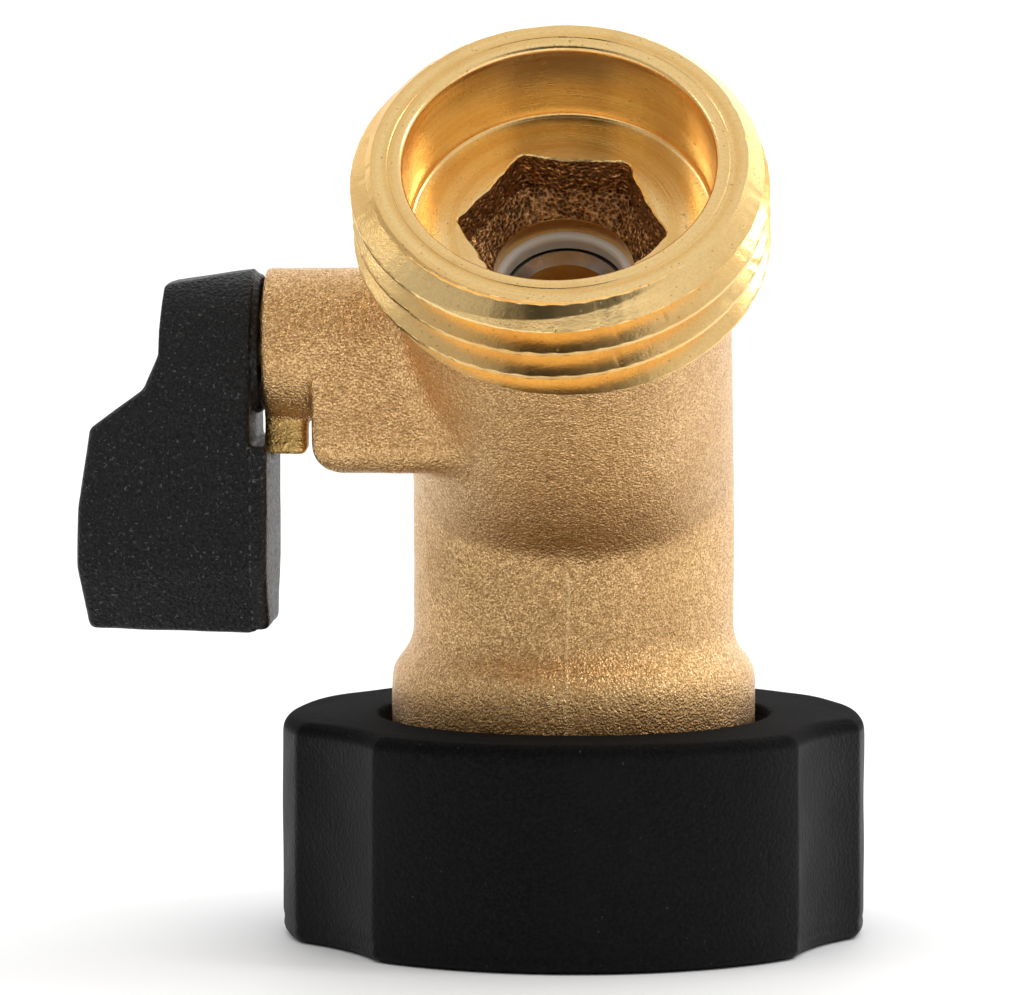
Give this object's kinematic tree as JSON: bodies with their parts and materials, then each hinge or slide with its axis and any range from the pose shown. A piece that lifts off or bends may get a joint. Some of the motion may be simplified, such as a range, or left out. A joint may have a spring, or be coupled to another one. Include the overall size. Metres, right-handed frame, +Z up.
{
  "type": "hose shut-off elbow",
  "caption": "Angled brass hose elbow with a quarter-turn ball shut-off, a plastic lever, a male hose thread outlet and a rubber-gripped swivel coupling.",
  "frame": {"origin": "centre of the swivel coupling's bottom face, where the hose thread starts, on the inlet axis", "axes": "+Z up along the inlet axis; the outlet leans 45 degrees towards -Y; the valve stem and lever lie towards -X"},
  "size_m": [0.0517, 0.0503, 0.0616],
  "materials": {
    "cast_brass": "shot-blasted",
    "machined_brass": "turned, bright",
    "chromed_brass": "polished",
    "steel": "plated",
    "black_plastic": "spark-eroded texture",
    "ptfe": "waxy white",
    "black_rubber": "matt moulded"
  },
  "bodies": {
    "housing": {"valve_body": "cast_brass", "outlet_connector": "machined_brass", "connector_o_ring": "black_rubber", "outlet_seat": "ptfe", "inlet_seat": "ptfe", "seat_backing_ring": "black_rubber", "stem_thrust_washer": "ptfe", "stem_gland": "machined_brass", "retaining_ring": "steel"},
    "lever_assembly": {"lever_handle": "black_plastic", "stem": "machined_brass", "stem_inner_o_ring": "black_rubber", "stem_outer_o_ring": "black_rubber", "handle_screw": "steel"},
    "ball_assembly": {"ball": "chromed_brass"},
    "grip_coupling": {"swivel_nut": "machined_brass", "hose_washer": "black_rubber", "grip_sleeve": "black_rubber"}
  },
  "joints": [
    {"name": "lever_turn", "type": "hinge", "parent": "housing", "child": "lever_assembly", "pos_m": [0, -0.0098, 0.0406], "axis": [-1, 0, 0], "range_deg": [0, 90]},
    {"name": "ball_turn", "type": "hinge", "parent": "housing", "child": "ball_assembly", "pos_m": [0, -0.0098, 0.0406], "axis": [-1, 0, 0], "range_deg": [0, 90]},
    {"name": "coupling_spin", "type": "hinge", "parent": "housing", "child": "grip_coupling", "pos_m": [0, 0, 0], "axis": [0, 0, 1], "continuous": true}
  ],
  "couplings": [
    {"joint": "ball_turn", "follows": "lever_turn", "ratio": 1}
  ]
}
